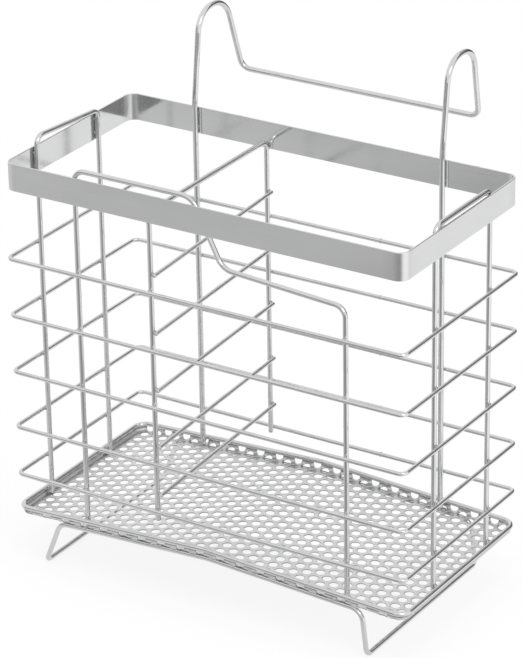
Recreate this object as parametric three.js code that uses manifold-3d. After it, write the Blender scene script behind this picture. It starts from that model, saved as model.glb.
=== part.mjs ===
// Hanging cutlery drying rack: wire rings and a strip band round a cage of bent wires,
// standing in a perforated tray on a wire foot, with two hooks at the rear.
// Millimetres, +Z up, the front faces -Y. The origin lies on the surface that the rack stands on,
// in the middle of its footprint, hooks included.

import * as THREE from 'three';
import { mergeVertices } from 'three/addons/utils/BufferGeometryUtils.js';
import Module from 'manifold-3d';

const wasm = await Module();
wasm.setup();

// Overall sizes of the basket, over the rings
const BODY_LENGTH = 194;
const BODY_DEPTH = 96.4;

// Wire diameters
const RING_WIRE = 1.8;
const LEG_WIRE = 2.2;
const HOOK_WIRE = 2.5;
const BAR_WIRE = 1.8;
const RIM_WIRE = 2.2;
const FOOT_WIRE = 2.2;

// Clearances
const WELD_GAP = 0.2;          // between two pieces that are welded to each other
const BUTT_GAP = 0.3;          // between the two ends of a wire that closes into a loop

// Facets of a wire: sides of its section, and straight steps in a bend
const WIRE_SIDES = 8;
const BEND_STEPS = 3;
const HOOK_BEND_STEPS = 4;
const TAIL_BEND_STEPS = 2;

// Rings, numbered from the top
const RING_COUNT = 5;
const LOWEST_RING_Z = 41;
const LOWEST_RING_PITCH = 22.5; // from the lowest ring to the next
const RING_PITCH = 26.2;        // between the others
const RING_CORNER = 3;          // bend radius on the centreline

// Band round the mouth
const BAND_HEIGHT = 12.2;
const BAND_THICKNESS = 0.8;
const BAND_CORNER = 4.8;        // outer radius
const BAND_OVER_RING = 31.4;    // from the top ring up to the band's lower edge

// Side hoops
const HOOP_SPREAD = 45;         // between the two legs of a hoop
const HOOP_OFFSET = 3.5;        // off the middle: the left hoop forwards, the right one back
const LEFT_HOOP_RISE = [4.9, 1.8]; // front and rear corner of the hoop above the band
const RIGHT_HOOP_RISE = [1, 1];
const HOOP_BEND = 4;

// Front wire with its step
const FRONT_LEFT_X = -61.5;
const FRONT_RIGHT_X = 68;
const FRONT_RISE = 2.8;         // high run above the band
const FRONT_BEND = 5;
const STEP_X = -3.7;            // where the slope leaves the high run
const STEP_LENGTH = 14;
const STEP_DROP = 28.6;
const STEP_BEND = 8;
const LOW_RUN_FALL = 3.9;       // along the low run, down to the right leg

// Hooks
const HOOK_X = 61;              // each hook from the middle of the rack
const HOOK_LEAN = 5;            // legs backwards between the band and the crown
const LEAN_START = 2.3;         // where the legs begin to lean, above the band
const HOOK_REACH = 20.5;        // from a leg back to the tail of its hook, at the crown
const HOOK_RISE = 42.3;         // crown of the hooks above the band
const HOOK_BEND = 10.6;         // from a leg into the crown
const CROWN_BEND = 12.4;        // from the crown into the tail
const TAIL_LENGTH = 34.8;       // from the crown down to the cross run
const TAIL_FLARE = 9.3;         // cross run back from the tails' upper ends
const TAIL_LEAN = 2.2;          // tails inwards at the cross run
const TAIL_BEND = 4.5;

// Divider
const DIVIDER_X = -25;
const DIVIDER_SINK = 8.2;       // top of the divider below the top of the band
const DIVIDER_FRONT_FOOT = 5;   // front leg below the lowest ring
const DIVIDER_REAR_FOOT = 2;    // rear leg below the lowest ring
const DIVIDER_BEND = 4;
const BAR_OVER_RING = 7.7;      // front end of each bar above its ring
const BAR_RISE = 4.5;           // rear end of each bar above its front end
const BAR_PAST_LEG = 0.4;       // rear end of each bar beyond the middle of the rear leg

// Tray
const SHEET = 0.5;
const TRAY_SLOPE = 0.048;       // fall of the floor from the crease to the ends
const TRAY_CREASE_Z = 26.4;     // underside of the floor at the crease
const LIP_HEIGHT = 2;           // from the underside of the floor to the top of the lip
const TRAY_CORNER = 5.5;        // bend radius of the rim wire
const HOLE = 3.8;               // across a hole
const HOLE_PITCH = 5.7;         // between neighbouring holes
const HOLE_SIDES = 4;
const HOLE_MARGIN = 2.7;        // least metal from a hole to the lip

// Foot
const FOOT_INSET = 1.4;         // foot runs inwards from the rim wire
const FOOT_TOP_X = 75.5;        // corner between a run and a foot leg
const LEFT_SPLAY = 8.2;         // left skid outwards from those corners
const RIGHT_SPLAY = 2.4;        // right skid outwards from those corners
const FOOT_BEND = 6;
const SKID_BEND = 3;

// Planes and levels worked out from the sizes above
const innerX = BODY_LENGTH / 2 - RING_WIRE - WELD_GAP;
const innerY = BODY_DEPTH / 2 - RING_WIRE - WELD_GAP;
const legX = innerX - LEG_WIRE / 2;
const legY = innerY - LEG_WIRE / 2;
const hookY = innerY - HOOK_WIRE / 2;
const crownY = hookY + HOOK_LEAN;
const tailY = crownY + HOOK_REACH + TAIL_FLARE;
const rimX = innerX + WELD_GAP + RIM_WIRE / 2;
const rimY = innerY + WELD_GAP + RIM_WIRE / 2;
const rimCreaseZ = TRAY_CREASE_Z + LIP_HEIGHT + WELD_GAP + RIM_WIRE / 2;
const topRingZ = ringLevel(1);
const bandBottomZ = topRingZ + BAND_OVER_RING;
const bandTopZ = bandBottomZ + BAND_HEIGHT;
const footprintFront = -Math.max(BODY_DEPTH / 2, rimY + RIM_WIRE / 2);
const footprintRear = tailY + HOOK_WIRE / 2;

function ringLevel(number) {
  const stepsUp = RING_COUNT - number;
  return LOWEST_RING_Z + (stepsUp > 0 ? LOWEST_RING_PITCH + (stepsUp - 1) * RING_PITCH : 0);
}

// Fall of the tray, and of what follows it, at a distance from the crease
function trayFall(x) {
  return TRAY_SLOPE * Math.abs(x);
}

// Lower end of a wire that stands on the tray floor
function standingZ(x) {
  const highSide = Math.max(Math.abs(x) - HOOK_WIRE, 0);
  return TRAY_CREASE_Z + SHEET + WELD_GAP - trayFall(highSide);
}

// Finishes
function polishedWire() {
  return new THREE.MeshStandardMaterial({ color: 0xc6c8c9, roughness: 0.22, metalness: 1 });
}

function brightStrip() {
  return new THREE.MeshStandardMaterial({ color: 0xc2c4c5, roughness: 0.16, metalness: 1 });
}

function perforatedSheet() {
  return new THREE.MeshStandardMaterial({ color: 0xcfd0d0, roughness: 0.34, metalness: 1 });
}

// A corner of a wire's route, rounded to a bend radius where it has one
function corner(x, y, z, bend = 0, steps = BEND_STEPS) {
  return { at: new THREE.Vector3(x, y, z), bend, steps };
}

// Points of one bend, on an arc that touches the two runs that meet at the corner
function bendPoints(before, here, after) {
  const back = before.at.clone().sub(here.at).normalize();
  const ahead = after.at.clone().sub(here.at).normalize();
  const half = back.angleTo(ahead) / 2;
  const inward = back.clone().add(ahead).normalize();
  const centre = here.at.clone().addScaledVector(inward, here.bend / Math.sin(half));
  const setback = here.bend / Math.tan(half);
  const spoke = here.at.clone().addScaledVector(back, setback).sub(centre);
  const lastSpoke = here.at.clone().addScaledVector(ahead, setback).sub(centre);
  const axis = new THREE.Vector3().crossVectors(spoke, lastSpoke).normalize();
  const sweep = Math.PI - 2 * half;
  const points = [];
  for (let step = 0; step <= here.steps; step++) {
    const turned = spoke.clone().applyAxisAngle(axis, sweep * step / here.steps);
    points.push(turned.add(centre));
  }
  return points;
}

const WORLD_AXES = [
  new THREE.Vector3(1, 0, 0),
  new THREE.Vector3(0, 1, 0),
  new THREE.Vector3(0, 0, 1),
];
const LEAST_SLANT = 0.3;        // below this an axis runs too nearly along the wire

// Direction across a wire that is square to a world axis and turns least from the one before it
function squareAcross(along, previous) {
  let best = null;
  for (const axis of WORLD_AXES) {
    const across = axis.clone().projectOnPlane(along);
    if (across.length() < LEAST_SLANT) continue;
    across.normalize();
    if (across.dot(previous) < 0) across.negate();
    if (!best || across.dot(previous) > best.dot(previous)) best = across;
  }
  return best;
}

// Route of a bent wire as a curve whose steps fall on the ends, the bends and the creases
class BentWire extends THREE.Curve {
  constructor(corners) {
    super();
    this.stations = corners.flatMap((here, i) => (
      here.bend > 0 ? bendPoints(corners[i - 1], here, corners[i + 1]) : [here.at]
    ));
  }

  get steps() {
    return this.stations.length - 1;
  }

  getPointAt(u, target = new THREE.Vector3()) {
    return target.copy(this.stations[Math.round(u * this.steps)]);
  }

  runAfter(i) {
    const start = Math.min(Math.max(i, 0), this.steps - 1);
    return this.stations[start + 1].clone().sub(this.stations[start]).normalize();
  }

  // The section stays square to the world along level runs, and is stretched across each mitre
  // so that the wire keeps its thickness through a bend.
  computeFrenetFrames() {
    const frames = { tangents: [], normals: [], binormals: [] };
    let previous = Math.abs(this.runAfter(0).z) < LEAST_SLANT ? WORLD_AXES[2] : WORLD_AXES[0];
    for (let i = 0; i <= this.steps; i++) {
      const before = this.runAfter(i - 1);
      const after = this.runAfter(i);
      const tangent = before.clone().add(after).normalize();
      const normal = squareAcross(tangent, previous);
      const binormal = new THREE.Vector3().crossVectors(tangent, normal);
      previous = normal.clone();
      const turn = after.clone().sub(before);
      if (turn.length() > 0) {
        turn.normalize();
        const stretch = 1 / tangent.dot(after) - 1;
        normal.addScaledVector(turn, stretch * normal.dot(turn));
        binormal.addScaledVector(turn, stretch * binormal.dot(turn));
      }
      frames.tangents.push(tangent);
      frames.normals.push(normal);
      frames.binormals.push(binormal);
    }
    return frames;
  }
}

// Regular section with flat sides at the wire's radius
function wireSection(diameter) {
  const reach = diameter / 2 / Math.cos(Math.PI / WIRE_SIDES);
  const points = [];
  for (let i = 0; i < WIRE_SIDES; i++) {
    const angle = (i + 0.5) * 2 * Math.PI / WIRE_SIDES;
    points.push(new THREE.Vector2(reach * Math.cos(angle), reach * Math.sin(angle)));
  }
  return new THREE.Shape(points);
}

const rack = new THREE.Group();
rack.position.y = -(footprintFront + footprintRear) / 2;

function addPiece(name, geometry, material) {
  const mesh = new THREE.Mesh(geometry, material);
  mesh.name = name;
  rack.add(mesh);
}

function addWire(name, diameter, corners) {
  const route = new BentWire(corners);
  const section = wireSection(diameter);
  const geometry = new THREE.ExtrudeGeometry(section, { steps: route.steps, extrudePath: route });
  addPiece(name, geometry, polishedWire());
}

// Rounded rectangle of wire, butted together in the middle of its rear run, creased in the middle
// of its front run where its level falls to the ends
function loopCorners(halfX, halfY, bend, level) {
  const butt = BUTT_GAP / 2;
  const crease = level(0) > level(halfX) ? [corner(0, -halfY, level(0))] : [];
  return [
    corner(butt, halfY, level(butt)),
    corner(halfX, halfY, level(halfX), bend),
    corner(halfX, -halfY, level(halfX), bend),
    ...crease,
    corner(-halfX, -halfY, level(-halfX), bend),
    corner(-halfX, halfY, level(-halfX), bend),
    corner(-butt, halfY, level(-butt)),
  ];
}

// Rings
for (let number = 1; number <= RING_COUNT; number++) {
  const halfX = (BODY_LENGTH - RING_WIRE) / 2;
  const halfY = (BODY_DEPTH - RING_WIRE) / 2;
  const level = () => ringLevel(number);
  addWire(`ring_${number}`, RING_WIRE, loopCorners(halfX, halfY, RING_CORNER, level));
}

// Points of a rounded corner, a quarter of a circle that starts at a number of quarter turns
function roundedCorner(x, y, radius, startQuarter) {
  const points = [];
  for (let step = 0; step <= BEND_STEPS; step++) {
    const angle = (startQuarter + step / BEND_STEPS) * Math.PI / 2;
    points.push(new THREE.Vector2(x + radius * Math.cos(angle), y + radius * Math.sin(angle)));
  }
  return points;
}

// Outline of a rounded rectangle round the origin
function roundedOutline(halfX, halfY, radius) {
  const x = halfX - radius;
  const y = halfY - radius;
  return [
    ...roundedCorner(x, -y, radius, -1),
    ...roundedCorner(x, y, radius, 0),
    ...roundedCorner(-x, y, radius, 1),
    ...roundedCorner(-x, -y, radius, 2),
  ];
}

// Band
function bandGeometry() {
  const insideX = innerX + WELD_GAP;
  const insideY = innerY + WELD_GAP;
  const outsideX = insideX + BAND_THICKNESS;
  const outsideY = insideY + BAND_THICKNESS;
  const insideCorner = BAND_CORNER - BAND_THICKNESS;
  const strip = new THREE.Shape(roundedOutline(outsideX, outsideY, BAND_CORNER));
  strip.holes.push(new THREE.Path(roundedOutline(insideX, insideY, insideCorner)));
  const options = { depth: BAND_HEIGHT, bevelEnabled: false };
  return new THREE.ExtrudeGeometry(strip, options).translate(0, 0, bandBottomZ);
}

addPiece('top_band', bandGeometry(), brightStrip());

// Side hoops
for (const [name, side, rise] of [
  ['left_side_hoop', -1, LEFT_HOOP_RISE],
  ['right_side_hoop', 1, RIGHT_HOOP_RISE],
]) {
  const x = side * legX;
  const front = side * HOOP_OFFSET - HOOP_SPREAD / 2;
  const rear = front + HOOP_SPREAD;
  addWire(name, LEG_WIRE, [
    corner(x, front, standingZ(x)),
    corner(x, front, bandTopZ + rise[0], HOOP_BEND),
    corner(x, rear, bandTopZ + rise[1], HOOP_BEND),
    corner(x, rear, standingZ(x)),
  ]);
}

// Front wire
function frontStepCorners() {
  const high = bandTopZ + FRONT_RISE;
  const low = high - STEP_DROP;
  return [
    corner(FRONT_LEFT_X, -legY, standingZ(FRONT_LEFT_X)),
    corner(FRONT_LEFT_X, -legY, high, FRONT_BEND),
    corner(STEP_X, -legY, high, STEP_BEND),
    corner(STEP_X + STEP_LENGTH, -legY, low, STEP_BEND),
    corner(FRONT_RIGHT_X, -legY, low - LOW_RUN_FALL, FRONT_BEND),
    corner(FRONT_RIGHT_X, -legY, standingZ(FRONT_RIGHT_X)),
  ];
}

addWire('front_step_wire', LEG_WIRE, frontStepCorners());

// Hooks, joined by the cross run between their tails
function hookCorners() {
  const crown = bandTopZ + HOOK_RISE;
  const cross = crown - TAIL_LENGTH;
  const halfOfHooks = (side) => [
    corner(side * HOOK_X, hookY, standingZ(HOOK_X)),
    corner(side * HOOK_X, hookY, bandTopZ + LEAN_START),
    corner(side * HOOK_X, crownY, crown, HOOK_BEND, HOOK_BEND_STEPS),
    corner(side * HOOK_X, crownY + HOOK_REACH, crown, CROWN_BEND, HOOK_BEND_STEPS),
    corner(side * (HOOK_X - TAIL_LEAN), tailY, cross, TAIL_BEND, TAIL_BEND_STEPS),
  ];
  return [...halfOfHooks(-1), ...halfOfHooks(1).reverse()];
}

addWire('hook_wire', HOOK_WIRE, hookCorners());

// Divider and its bars
function dividerCorners() {
  const top = bandTopZ - DIVIDER_SINK;
  return [
    corner(DIVIDER_X, -legY, LOWEST_RING_Z - DIVIDER_FRONT_FOOT),
    corner(DIVIDER_X, -legY, top, DIVIDER_BEND),
    corner(DIVIDER_X, legY, top, DIVIDER_BEND),
    corner(DIVIDER_X, legY, LOWEST_RING_Z - DIVIDER_REAR_FOOT),
  ];
}

addWire('divider_hoop', LEG_WIRE, dividerCorners());

for (let number = 1; number <= RING_COUNT; number++) {
  const x = DIVIDER_X + LEG_WIRE / 2 + WELD_GAP + BAR_WIRE / 2;
  const z = ringLevel(number) + BAR_OVER_RING;
  const ends = [corner(x, -innerY, z), corner(x, legY + BAR_PAST_LEG, z + BAR_RISE)];
  addWire(`divider_bar_${number}`, BAR_WIRE, ends);
}

// Tray rim, which falls to both ends with the tray
addWire('tray_rim_wire', RIM_WIRE,
  loopCorners(rimX, rimY, TRAY_CORNER, (x) => rimCreaseZ - trayFall(x)));

// Closed solid of a geometry, ready to be joined to others
function solid(geometry) {
  geometry.deleteAttribute('normal');
  geometry.deleteAttribute('uv');
  const merged = mergeVertices(geometry);
  return new wasm.Manifold(new wasm.Mesh({
    numProp: 3,
    vertProperties: merged.getAttribute('position').array,
    triVerts: new Uint32Array(merged.getIndex().array),
  }));
}

function geometryOf(joined) {
  const mesh = joined.getMesh();
  const geometry = new THREE.BufferGeometry();
  geometry.setAttribute('position', new THREE.BufferAttribute(mesh.vertProperties, 3));
  geometry.setIndex(new THREE.BufferAttribute(mesh.triVerts, 1));
  geometry.computeVertexNormals();
  return geometry;
}

// Outline of one half of the tray: from the crease out to one end and back to the crease
function halfOutline(side, halfX, halfY, radius) {
  const points = [
    new THREE.Vector2(0, -halfY),
    ...roundedCorner(halfX - radius, -halfY + radius, radius, -1),
    ...roundedCorner(halfX - radius, halfY - radius, radius, 0),
    new THREE.Vector2(0, halfY),
  ];
  return points.map((point) => point.setX(side * point.x));
}

// Holes of one half, in staggered columns that run from front to rear
function holePaths(side, halfX, halfY) {
  const columnPitch = HOLE_PITCH * Math.sqrt(3) / 2;
  const radius = HOLE / 2;
  const farX = halfX - HOLE_MARGIN - radius;
  const farY = halfY - HOLE_MARGIN - radius;
  const columns = Math.floor(farX / columnPitch + 0.5);
  const paths = [];
  for (let i = 0; i < columns; i++) {
    const x = (i + 0.5) * columnPitch;
    const stagger = (side > 0 ? i : i + 1) % 2 ? HOLE_PITCH / 2 : 0;
    const rows = Math.floor((farY - stagger) / HOLE_PITCH);
    const firstRow = stagger > 0 ? -rows - 1 : -rows;
    for (let row = firstRow; row <= rows; row++) {
      paths.push(holePath(side * x, row * HOLE_PITCH + stagger, radius));
    }
  }
  return paths;
}

function holePath(x, y, radius) {
  const points = [];
  for (let i = 0; i < HOLE_SIDES; i++) {
    const angle = i * 2 * Math.PI / HOLE_SIDES;
    points.push(new THREE.Vector2(x + radius * Math.cos(angle), y + radius * Math.sin(angle)));
  }
  return new THREE.Path(points);
}

// One half of the tray, flat, with its lip, then let fall from the crease to its end
function halfTray(side) {
  const outerX = rimX + SHEET / 2;
  const outerY = rimY + SHEET / 2;
  const cornerRadius = TRAY_CORNER + SHEET / 2;
  const outer = halfOutline(side, outerX, outerY, cornerRadius);
  const inner = halfOutline(side, outerX - SHEET, outerY - SHEET, cornerRadius - SHEET);

  const floorShape = new THREE.Shape(outer);
  floorShape.holes = holePaths(side, outerX - SHEET, outerY - SHEET);
  const floor = new THREE.ExtrudeGeometry(floorShape, { depth: SHEET, bevelEnabled: false });

  const lipShape = new THREE.Shape([...outer, ...inner.reverse()]);
  const lip = new THREE.ExtrudeGeometry(lipShape, { depth: LIP_HEIGHT, bevelEnabled: false });

  const fall = new THREE.Matrix4().makeShear(0, -side * TRAY_SLOPE, 0, 0, 0, 0);
  return solid(floor.applyMatrix4(fall)).add(solid(lip.applyMatrix4(fall)));
}

const tray = geometryOf(halfTray(-1).add(halfTray(1))).translate(0, 0, TRAY_CREASE_Z);
addPiece('tray_sheet', tray, perforatedSheet());

// Foot: two runs under the tray, four splayed legs and two skids
function footCorners() {
  const runY = rimY - FOOT_INSET;
  const skidZ = FOOT_WIRE / 2;
  const runZ = (x) => TRAY_CREASE_Z - WELD_GAP - FOOT_WIRE / 2 - trayFall(x);
  const butt = BUTT_GAP / 2;
  const endOfFoot = (side, splay) => [
    corner(side * FOOT_TOP_X, runY, runZ(FOOT_TOP_X), FOOT_BEND),
    corner(side * (FOOT_TOP_X + splay), runY, skidZ, SKID_BEND),
    corner(side * (FOOT_TOP_X + splay), -runY, skidZ, SKID_BEND),
    corner(side * FOOT_TOP_X, -runY, runZ(FOOT_TOP_X), FOOT_BEND),
  ];
  return [
    corner(butt, runY, runZ(butt)),
    ...endOfFoot(1, RIGHT_SPLAY),
    corner(0, -runY, runZ(0)),
    ...endOfFoot(-1, LEFT_SPLAY).reverse(),
    corner(-butt, runY, runZ(butt)),
  ];
}

addWire('foot_wire', FOOT_WIRE, footCorners());

export default rack;
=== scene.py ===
import math
from collections import namedtuple

import bmesh
import bpy
from mathutils import Matrix, Vector


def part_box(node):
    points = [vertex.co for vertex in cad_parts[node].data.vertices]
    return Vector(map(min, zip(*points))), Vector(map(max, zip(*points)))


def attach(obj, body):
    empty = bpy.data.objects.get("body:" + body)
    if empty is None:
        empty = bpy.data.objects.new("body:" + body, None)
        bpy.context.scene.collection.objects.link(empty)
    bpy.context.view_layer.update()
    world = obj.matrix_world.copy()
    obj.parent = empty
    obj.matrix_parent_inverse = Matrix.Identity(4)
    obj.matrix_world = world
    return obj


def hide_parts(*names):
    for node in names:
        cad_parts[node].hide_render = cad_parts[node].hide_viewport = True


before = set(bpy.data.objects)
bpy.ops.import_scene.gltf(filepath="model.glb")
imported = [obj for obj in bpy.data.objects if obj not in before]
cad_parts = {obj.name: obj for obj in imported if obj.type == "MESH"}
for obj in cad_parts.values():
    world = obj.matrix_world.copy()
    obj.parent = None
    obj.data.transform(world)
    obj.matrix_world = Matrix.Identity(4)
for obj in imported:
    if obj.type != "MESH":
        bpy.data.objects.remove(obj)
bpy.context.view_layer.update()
scene = bpy.context.scene

# Directions, and the corners of a rectangle in their order round it
RIGHTWARD = Vector((1, 0, 0))
REARWARD = Vector((0, 1, 0))
FORWARD = Vector((0, -1, 0))
UPWARD = Vector((0, 0, 1))
FOUR_CORNERS = ((-1, -1), (1, -1), (1, 1), (-1, 1))

# Wires in metres: places and most thicknesses come from the frame, bends and steps from here
WIRE_SIDES = 20
WIRE_CREASE = math.radians(30)
BEND_STEP = math.radians(7.5)
LEAST_BEND_STEPS = 3
RUN_END = 0.0006
SHORTEST_RUN = 4 * RUN_END
END_CUT = 0.0003
END_TAPER = 0.72
JOIN_X = 0.03
JOIN_GAP = 0.0003
SAME_RUN = 1e-6
RING_NAMES = ["ring_1", "ring_2", "ring_3", "ring_4", "ring_5"]
RING_BEND = 0.003
HOOP_BEND = 0.004
LEFT_HOOP_TILT = 0.0031
FRONT_BEND = 0.005
STEP_BEND = 0.008
STEP_LEFT_X = -0.0037
STEP_RIGHT_X = 0.0103
STEP_DROP = 0.0286
LOW_RUN_FALL = 0.0039
HOOK_WIRE = 0.0025
LEAN_START = 0.0023
LEAN_BEND = 0.05
HOOK_LEAN = 0.005
HOOK_BEND = 0.0106
HOOK_REACH = 0.0205
CROWN_BEND = 0.0124
TAIL_LEAN = 0.0022
TAIL_BEND = 0.0045
CROSS_RUN_DROP = 0.0348
DIVIDER_BEND = 0.004
DIVIDER_REAR_LIFT = 0.003
BAR_NAMES = ["divider_bar_1", "divider_bar_2", "divider_bar_3", "divider_bar_4", "divider_bar_5"]
BAR_INSET_SHARE = 0.1
RIM_BEND = 0.0055
CREASE_BEND = 0.04
FOOT_WIRE = 0.0022
KNEE_X = 0.0755
KNEE_BEND = 0.006
SKID_BEND = 0.003

# Strip and sheet in metres
STRIP = 0.0008
STRIP_BEND = 0.0048
STRIP_EDGE = 0.00025
STRIP_EDGE_STEPS = 3
STRIP_CREASE = math.radians(12)
SHEET = 0.00035
SHEET_CREASE = math.radians(35)
HOLE = 0.0041
HOLE_PITCH = 0.0057
HOLE_COLUMNS = 38
HOLE_ROWS = 19
HOLE_SIDES = 14
HOLE_ROLL = 0.00025
HOLE_ROLL_DEPTH = 0.00015
HOLE_EDGE = 0.0001
SEWING_REACH = 0.00001
FOLD = 0.0012
FOLD_STEPS = 5
FOLD_LEAD = 0.0004
LIP_IN_WIRE = 0.0008
CREASE_ROUND = 0.0015
CREASE_CUTS = (-0.003, -0.0015, 0, 0.0015, 0.003)
CUT_REACH = 1e-7
CORNER_MARGIN = 0.001
CORNER_EDGE = 0.0007
CORNER_ROUNDS = 3

# Welds: places and sizes in metres, and the bead's shape in shares of its size
WELD_GAP = 0.0001
RING_WELD = 0.0008
BAND_WELD = 0.0007
BAND_WELD_INSET = 0.003
BAND_WELD_BELOW_TOP = 0.004
RIM_WELD = 0.0011
RIM_WELD_REACH = 0.003
FOOT_WELD = 0.0011
FOOT_WELD_PLACES = (-0.062, -0.024, 0.024, 0.062)
BAR_WELD_SHARE = 0.55
BEAD_LENGTH = 1.3
BEAD_WIDTH = 1.15
BEAD_THICKNESS = 0.5
BEAD_UNEVENNESS = 0.12
BEAD_SEED = 4
BEAD_SEGMENTS = 10
BEAD_RINGS = 6

# Finishes: noise per metre, lightest and darkest metal, roughness, and relief as strength and depth
NOISE_LOW = 0.3
NOISE_HIGH = 0.7
DIE_LINES = (2600, 2600, 35)
DIE_LINE_SHARE = 0.5
DIE_LINE_RELIEF = (0.25, 0.00002)
WIRE_CLOUDS = (60, 60, 60)
WIRE_DARK = (0.59, 0.595, 0.6)
WIRE_LIGHT = (0.73, 0.73, 0.725)
WIRE_ROUGHNESS = (0.05, 0.12)
WELD_TINTS = (900, 900, 900)
WELD_PITS = (4200, 4200, 4200)
WELD_PIT_RELIEF = (0.4, 0.00006)
WELD_DARK = (0.50, 0.485, 0.46)
WELD_LIGHT = (0.64, 0.63, 0.615)
WELD_ROUGHNESS = (0.24, 0.42)
ROLL_LINES = (2400, 2400, 12)
ROLL_LINE_SHARE = 0.6
ROLL_LINE_RELIEF = (0.12, 0.00002)
STRIP_CLOUDS = (45, 45, 90)
STRIP_DARK = (0.66, 0.665, 0.67)
STRIP_LIGHT = (0.73, 0.73, 0.73)
STRIP_ROUGHNESS = (0.08, 0.15)
BENT_FROM = -0.005
BENT_TO = 0.001
BENT_DULLNESS = 0.2
SHEET_GRAIN = (260, 2600, 2600)
SHEET_GRAIN_SHARE = 0.5
SHEET_GRAIN_RELIEF = (0.2, 0.00003)
SHEET_CLOUDS = (70, 70, 70)
SHEET_FLECKS = (750, 750, 750)
FLECK_DETAIL = 4.0
FLECK_ROUGHNESS = 0.65
UNFLECKED_SHARE = 0.55
SHEET_DARK = (0.60, 0.605, 0.61)
SHEET_LIGHT = (0.86, 0.86, 0.855)
SHEET_ROUGHNESS = (0.38, 0.52)
BLOTCHES = (320, 320, 320)
BLOTCH_DETAIL = 2.0
# Painted shade in the crease under the rim wire, broken up by blotches: its darkest and lightest grey,
# and where it starts and is full, in wire thicknesses below the rim wire's middle
SEAM_SHADE_DARK = (0.05, 0.05, 0.05)
SEAM_SHADE_LIGHT = (0.42, 0.415, 0.41)
SEAM_SHADE_START = 0.85
SEAM_SHADE_FULL = 0.55
# A dark burr with painted shade on the rolled hole edges: its colour, and its most and least share
BURR_AND_SHADE_COLOUR = (0.22, 0.22, 0.22, 1)
BURR_AND_SHADE_AMOUNT = (0.95, 0.35)

# Camera at the photograph's viewing angle
VIEW_PLACE = Vector((0.72709, -1.15683, 0.73585))
VIEW_TURN = 0.56786
VIEW_RISE = 0.431537
VIEW_ROLL = -0.017039
VIEW_LENS = 244.29
VIEW_SENSOR = 36
VIEW_END = 50

# Studio in metres: lamps, cards, and the painted greys that the floor glows with for the metal to
# mirror
WHITE = (1, 1, 1, 1)
WORLD_FILL = 0.7
LAMP_AIM = Vector((0, 0, 0.1))
TOP_LAMP_PLACE = Vector((0.1, -0.15, 1.15))
TOP_LAMP_WIDTH = 0.9
TOP_LAMP_POWER = 6.0
SIDE_LAMP_PLACE = Vector((0.85, -0.5, 0.85))
SIDE_LAMP_WIDTH = 0.5
SIDE_LAMP_POWER = 2.2
REAR_FLAG_FEET = ((-0.1, 1.0), (1.5, 1.0))
REAR_FLAG_HEIGHT = 1.2
REAR_FLAG_GREYS = (0.1, 0.6)
FRONT_FLAG_FEET = ((-1.13, -0.46), (0.05, -1.22))
FRONT_FLAG_HEIGHT = 0.5
FRONT_FLAG_GREYS = (0.45, 0.6)
FLAG_FADE_FROM = 0.3
FLAG_FADE_TO = 1.1
FLOOR_HALF = 4
FLOOR_PAINT = (0.95, 0.95, 0.95, 1)
SHADOW_NEAR = 0.2
SHADOW_FAR = 0.6
SHADOW_WHITENESS = 0.83
# Painted light: a patch of the floor under the tray, seen through its holes, made white to take the
# rack's shadow out there
THROUGH_TRAY_X = -0.03
THROUGH_TRAY_Y = 0.047
THROUGH_TRAY_LONG = (0.07, 0.11)
THROUGH_TRAY_DEEP = (0.025, 0.055)
THROUGH_TRAY_WHITENESS = 0.99
# Painted reflection: the greys the floor glows with, seen only by the metal, and a painted shadow under
# the tray
MIRRORED_HALF = 0.6
FRONT_LEVELS = [(0.0, 0.51), (0.08, 0.49), (0.215, 0.5), (0.245, 0.42), (0.35, 0.31), (0.53, 0.28)]
REAR_LEVELS = [(0.25, 0.64), (0.67, 0.80)]
FRONT_FROM = 0.04
FRONT_TO = 0.18
WHITE_SIDE_SLANT = 0.4
WHITE_SIDE_FROM = -0.14
WHITE_SIDE_TO = 0.08
UNDER_TRAY_LONG = (0.05, 0.02)
UNDER_TRAY_DEEP = (0.03, 0.005)
UNDER_TRAY_SHADE = 0.75
MIRRORED_STRENGTH = 1.25

Leg = namedtuple("Leg", "foot outward radius top")
Weld = namedtuple("Weld", "place facing run size")


# Node trees
def put(tree, kind, inputs=None, **settings):
    """Adds a node, sets it, and fills its sockets with values or links."""
    node = tree.nodes.new(kind)
    for key, value in settings.items():
        setattr(node, key, value)
    for key, value in (inputs or {}).items():
        if isinstance(value, bpy.types.NodeSocket):
            tree.links.new(value, node.inputs[key])
        else:
            node.inputs[key].default_value = value
    return node


def reckon(tree, operation, first, second=0.0):
    """Two numbers or fields put together in one of the Math node's ways."""
    return put(tree, "ShaderNodeMath", {0: first, 1: second}, operation=operation).outputs[0]


def ramped(tree, field, start, end, low=0.0, high=1.0):
    """Goes from low to high as a field goes from start to end."""
    span = {"From Min": start, "From Max": end, "To Min": low, "To Max": high}
    return put(tree, "ShaderNodeMapRange", {"Value": field, **span}).outputs[0]


def apart(tree, field, middle):
    """How far a field is from a middle value, to either side."""
    return reckon(tree, "ABSOLUTE", reckon(tree, "SUBTRACT", field, middle))


def split(tree, vector):
    """The X, Y and Z of a vector."""
    return put(tree, "ShaderNodeSeparateXYZ", {0: vector}).outputs


def joined(tree, **sides):
    """A vector from its sides."""
    return put(tree, "ShaderNodeCombineXYZ", sides).outputs[0]


def new_shaping(name, measures, counts=()):
    """A Geometry Nodes tree with an input for each measure and count, and one for the finish."""
    tree = bpy.data.node_groups.new(name, "GeometryNodeTree")
    tree.interface.new_socket("Geometry", in_out="INPUT", socket_type="NodeSocketGeometry")
    tree.interface.new_socket("Geometry", in_out="OUTPUT", socket_type="NodeSocketGeometry")
    kinds = {"NodeSocketFloat": measures, "NodeSocketInt": counts, "NodeSocketMaterial": ["Finish"]}
    for kind, labels in kinds.items():
        for label in labels:
            tree.interface.new_socket(label, in_out="INPUT", socket_type=kind)
    return tree, put(tree, "NodeGroupInput").outputs


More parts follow.
